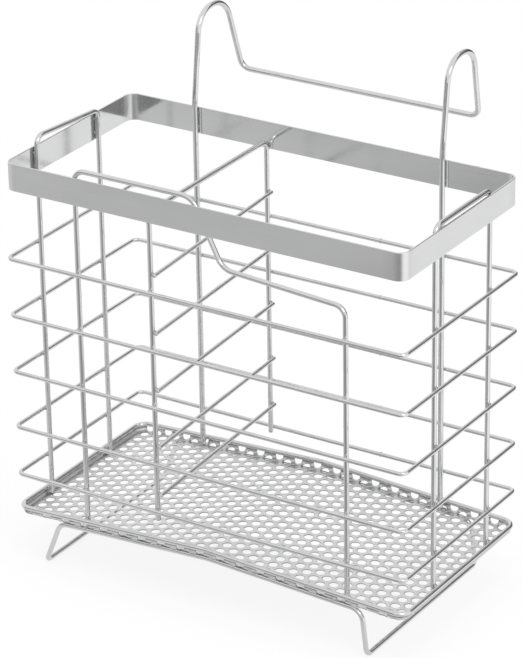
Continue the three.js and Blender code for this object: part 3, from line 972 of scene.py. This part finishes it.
# Welds
def weld_leg(leg):
    """Marks the welds of one upright leg to the rings, the band and the rim wire."""
    sideways = Vector((-leg.outward.y, leg.outward.x, 0))

    def weld_at(level, run, size):
        touch = Vector((leg.foot.x, leg.foot.y, level)) + leg.outward * (leg.radius + WELD_GAP)
        welds.append(Weld(touch, leg.outward, run, size))

    for level in ring_levels:
        if level < leg.top:
            weld_at(level, sideways, RING_WELD)
    if leg.top > band_low.z:
        weld_at(band_low.z + BAND_WELD_INSET, UPWARD, BAND_WELD)
        weld_at(min(band_high.z - BAND_WELD_INSET, leg.top - BAND_WELD_BELOW_TOP), UPWARD, BAND_WELD)
    if leg.foot.z < rim_low.z + RIM_WELD_REACH:
        weld_at(rim_crease - tray_slope * abs(leg.foot.x), sideways, RIM_WELD)


def weld_foot():
    """Marks the welds of the foot runs to the underside of the tray."""
    for x in FOOT_WELD_PLACES:
        level = foot_crease - tray_slope * abs(x) + FOOT_WIRE / 2 + WELD_GAP
        for side_y in (-1, 1):
            top = Vector((x, body_y + side_y * foot_y, level))
            welds.append(Weld(top, UPWARD, RIGHTWARD, FOOT_WELD))


def weld_piece():
    """Every weld of the rack, as one piece of flattened beads."""
    for leg in legs:
        weld_leg(leg)
    weld_foot()
    mesh = bpy.data.meshes.new("weld_points")
    mesh.from_pydata([weld.place for weld in welds], [], [])
    facing = mesh.attributes.new("weld_facing", "FLOAT_VECTOR", "POINT")
    facing.data.foreach_set("vector", [side for weld in welds for side in weld.facing])
    run = mesh.attributes.new("weld_run", "FLOAT_VECTOR", "POINT")
    run.data.foreach_set("vector", [side for weld in welds for side in weld.run])
    size = mesh.attributes.new("weld_size", "FLOAT", "POINT")
    size.data.foreach_set("value", [weld.size for weld in welds])
    seed = linked(bpy.data.objects.new("spot_welds", mesh))
    piece = shaped(seed, weld_shaping(),
                   {"Length": BEAD_LENGTH, "Width": BEAD_WIDTH, "Thickness": BEAD_THICKNESS,
                    "Unevenness": BEAD_UNEVENNESS, "Seed": BEAD_SEED, "Segments": BEAD_SEGMENTS,
                    "Rings": BEAD_RINGS, "Finish": weld_finish()})
    return kept(piece, "polished_wire")


weld_piece()


# Studio
def mixed_shader(tree, share, first, second):
    """A shader that goes from the first to the second by a share."""
    return put(tree, "ShaderNodeMixShader", {0: share, 1: first, 2: second}).outputs[0]


def level_ramp(tree, share, levels):
    """A grey that goes through levels as a share runs from 0 to 1."""
    ramp = put(tree, "ShaderNodeValToRGB", {0: share})
    elements = ramp.color_ramp.elements
    for place, (position, grey) in enumerate(levels):
        element = elements[place] if place < 2 else elements.new(position)
        element.position = position
        element.color = (grey, grey, grey, 1)
    return ramp.outputs[0]


def white_world():
    """White wherever it is seen, and a softer fill for the rest of the light."""
    world = bpy.data.worlds.new("white_studio")
    world.use_nodes = True
    tree = world.node_tree
    tree.nodes.clear()
    rays = put(tree, "ShaderNodeLightPath").outputs
    seen = reckon(tree, "MAXIMUM", rays["Is Camera Ray"], rays["Is Glossy Ray"])
    seen = reckon(tree, "MAXIMUM", seen, rays["Is Transmission Ray"])
    shown = put(tree, "ShaderNodeBackground", {"Color": WHITE, "Strength": 1.0})
    fill = put(tree, "ShaderNodeBackground", {"Color": WHITE, "Strength": WORLD_FILL})
    both = mixed_shader(tree, seen, fill.outputs[0], shown.outputs[0])
    put(tree, "ShaderNodeOutputWorld", {"Surface": both})
    scene.world = world


def card(name, corners, finish):
    """A flat studio surface through four corners."""
    mesh = bpy.data.meshes.new(name)
    mesh.from_pydata(corners, [], [(0, 1, 2, 3)])
    mesh.materials.append(finish)
    obj = linked(bpy.data.objects.new(name, mesh))
    return obj


def floor_as_seen(tree, place, paint):
    """To the camera: diffuse paint where the rack's shadow falls, white further off, and painted light
    under the tray, seen through its holes, that takes the shadow out there.
    """
    white = put(tree, "ShaderNodeEmission", {"Color": WHITE, "Strength": 1.0})
    distance = put(tree, "ShaderNodeVectorMath", {0: place}, operation="LENGTH").outputs["Value"]
    whiteness = ramped(tree, distance, SHADOW_NEAR, SHADOW_FAR, SHADOW_WHITENESS, 1.0)
    # Painted light under the tray, where the camera sees the floor through the holes
    sides = split(tree, place)
    off_x = apart(tree, sides["X"], THROUGH_TRAY_X)
    off_y = apart(tree, sides["Y"], body_y + THROUGH_TRAY_Y)
    painted_light_patch = reckon(tree, "MULTIPLY", ramped(tree, off_x, *THROUGH_TRAY_LONG, 1, 0),
                     ramped(tree, off_y, *THROUGH_TRAY_DEEP, 1, 0))
    lit = reckon(tree, "MAXIMUM", whiteness, reckon(tree, "MULTIPLY", painted_light_patch, THROUGH_TRAY_WHITENESS))
    return mixed_shader(tree, lit, paint, white.outputs[0])


def floor_in_metal(tree, place):
    """To the metal: a glowing painted reflection, dark in front, lighter behind, white to the right,
    with a painted shadow under the tray.
    """
    sides = split(tree, place)
    toward_view = reckon(tree, "SUBTRACT", reckon(tree, "MULTIPLY", sides["X"], math.sin(VIEW_TURN)),
                         reckon(tree, "MULTIPLY", sides["Y"], math.cos(VIEW_TURN)))
    across_view = reckon(tree, "ADD", reckon(tree, "MULTIPLY", sides["X"], math.cos(VIEW_TURN)),
                         reckon(tree, "MULTIPLY", sides["Y"], math.sin(VIEW_TURN)))
    share = ramped(tree, across_view, -MIRRORED_HALF, MIRRORED_HALF)
    slanted = reckon(tree, "MULTIPLY", toward_view, WHITE_SIDE_SLANT)
    white_side = ramped(tree, reckon(tree, "SUBTRACT", across_view, slanted),
                        WHITE_SIDE_FROM, WHITE_SIDE_TO)
    front = reckon(tree, "MAXIMUM", level_ramp(tree, share, FRONT_LEVELS), white_side)
    ahead = ramped(tree, toward_view, FRONT_FROM, FRONT_TO)
    level = mixed_colour(tree, ahead, level_ramp(tree, share, REAR_LEVELS), front)
    # Painted shadow under the tray, in the glowing floor that the metal mirrors
    edges_x = [rim_x - inset for inset in UNDER_TRAY_LONG]
    edges_y = [rim_y - inset for inset in UNDER_TRAY_DEEP]
    painted_shadow_under_tray = reckon(tree, "MULTIPLY", ramped(tree, apart(tree, sides["X"], 0), *edges_x, 1, 0),
                   ramped(tree, apart(tree, sides["Y"], body_y), *edges_y, 1, 0))
    unshaded = reckon(tree, "SUBTRACT", 1.0, reckon(tree, "MULTIPLY", painted_shadow_under_tray, UNDER_TRAY_SHADE))
    strength = reckon(tree, "MULTIPLY", unshaded, MIRRORED_STRENGTH)
    return put(tree, "ShaderNodeEmission", {"Color": level, "Strength": strength}).outputs[0]


def floor_finish():
    """Pale floor: white to the camera with the rack's shadow and painted light under the tray, and a
    glowing painted reflection to the metal.
    """
    finish, tree = new_surface("pale_floor")
    rays = put(tree, "ShaderNodeLightPath").outputs
    place = put(tree, "ShaderNodeTexCoord").outputs["Object"]
    paint = put(tree, "ShaderNodeBsdfDiffuse", {"Color": FLOOR_PAINT}).outputs[0]
    plain = mixed_shader(tree, rays["Is Camera Ray"], paint, floor_as_seen(tree, place, paint))
    all_rays = mixed_shader(tree, rays["Is Glossy Ray"], plain, floor_in_metal(tree, place))
    put(tree, "ShaderNodeOutputMaterial", {"Surface": all_rays})
    return finish


def grey_flag(name, feet, height, greys):
    """An upright grey card outside the picture that only the metal sees."""
    finish, tree = new_surface(name)
    place = split(tree, put(tree, "ShaderNodeTexCoord").outputs["Object"])
    faded = ramped(tree, place["Z"], FLAG_FADE_FROM, FLAG_FADE_TO)
    grey = level_ramp(tree, faded, list(enumerate(greys)))
    felt = put(tree, "ShaderNodeBsdfDiffuse", {"Color": grey})
    put(tree, "ShaderNodeOutputMaterial", {"Surface": felt.outputs[0]})
    first, last = feet
    corners = [(*first, 0), (*last, 0), (*last, height), (*first, height)]
    flag = card(name, corners, finish)
    flag.visible_camera = False
    flag.visible_diffuse = False
    flag.visible_shadow = False


def softbox(name, place, width, power):
    """A square lamp that is aimed at the rack."""
    light = bpy.data.lights.new(name, "AREA")
    light.shape = "SQUARE"
    light.size = width
    light.energy = power
    lamp = linked(bpy.data.objects.new(name, light))
    lamp.location = place
    lamp.rotation_euler = (LAMP_AIM - place).to_track_quat("-Z", "Y").to_euler()
    return lamp


def photo_camera():
    """A camera at the photograph's place, turn, rise and roll."""
    data = bpy.data.cameras.new("photo_camera")
    data.sensor_fit = "HORIZONTAL"
    data.sensor_width = VIEW_SENSOR
    data.lens = VIEW_LENS
    data.clip_end = VIEW_END
    outward = Vector((math.sin(VIEW_TURN), -math.cos(VIEW_TURN), 0))
    back = outward * math.cos(VIEW_RISE) + UPWARD * math.sin(VIEW_RISE)
    level = (-back).cross(UPWARD).normalized()
    upright = level.cross(-back)
    right = math.cos(VIEW_ROLL) * level + math.sin(VIEW_ROLL) * upright
    up = math.cos(VIEW_ROLL) * upright - math.sin(VIEW_ROLL) * level
    turned = Matrix((right, up, back)).transposed().to_4x4()
    camera = linked(bpy.data.objects.new("photo_camera", data))
    camera.matrix_world = Matrix.Translation(VIEW_PLACE) @ turned
    scene.camera = camera


white_world()
floor_corners = [(x * FLOOR_HALF, y * FLOOR_HALF, 0) for x, y in FOUR_CORNERS]
card("studio_floor", floor_corners, floor_finish())
grey_flag("rear_right_flag", REAR_FLAG_FEET, REAR_FLAG_HEIGHT, REAR_FLAG_GREYS)
grey_flag("front_left_flag", FRONT_FLAG_FEET, FRONT_FLAG_HEIGHT, FRONT_FLAG_GREYS)
top_lamp = softbox("top_softbox", TOP_LAMP_PLACE, TOP_LAMP_WIDTH, TOP_LAMP_POWER)
top_lamp.visible_glossy = False
softbox("side_softbox", SIDE_LAMP_PLACE, SIDE_LAMP_WIDTH, SIDE_LAMP_POWER)
photo_camera()
scene.view_settings.view_transform = "Standard"
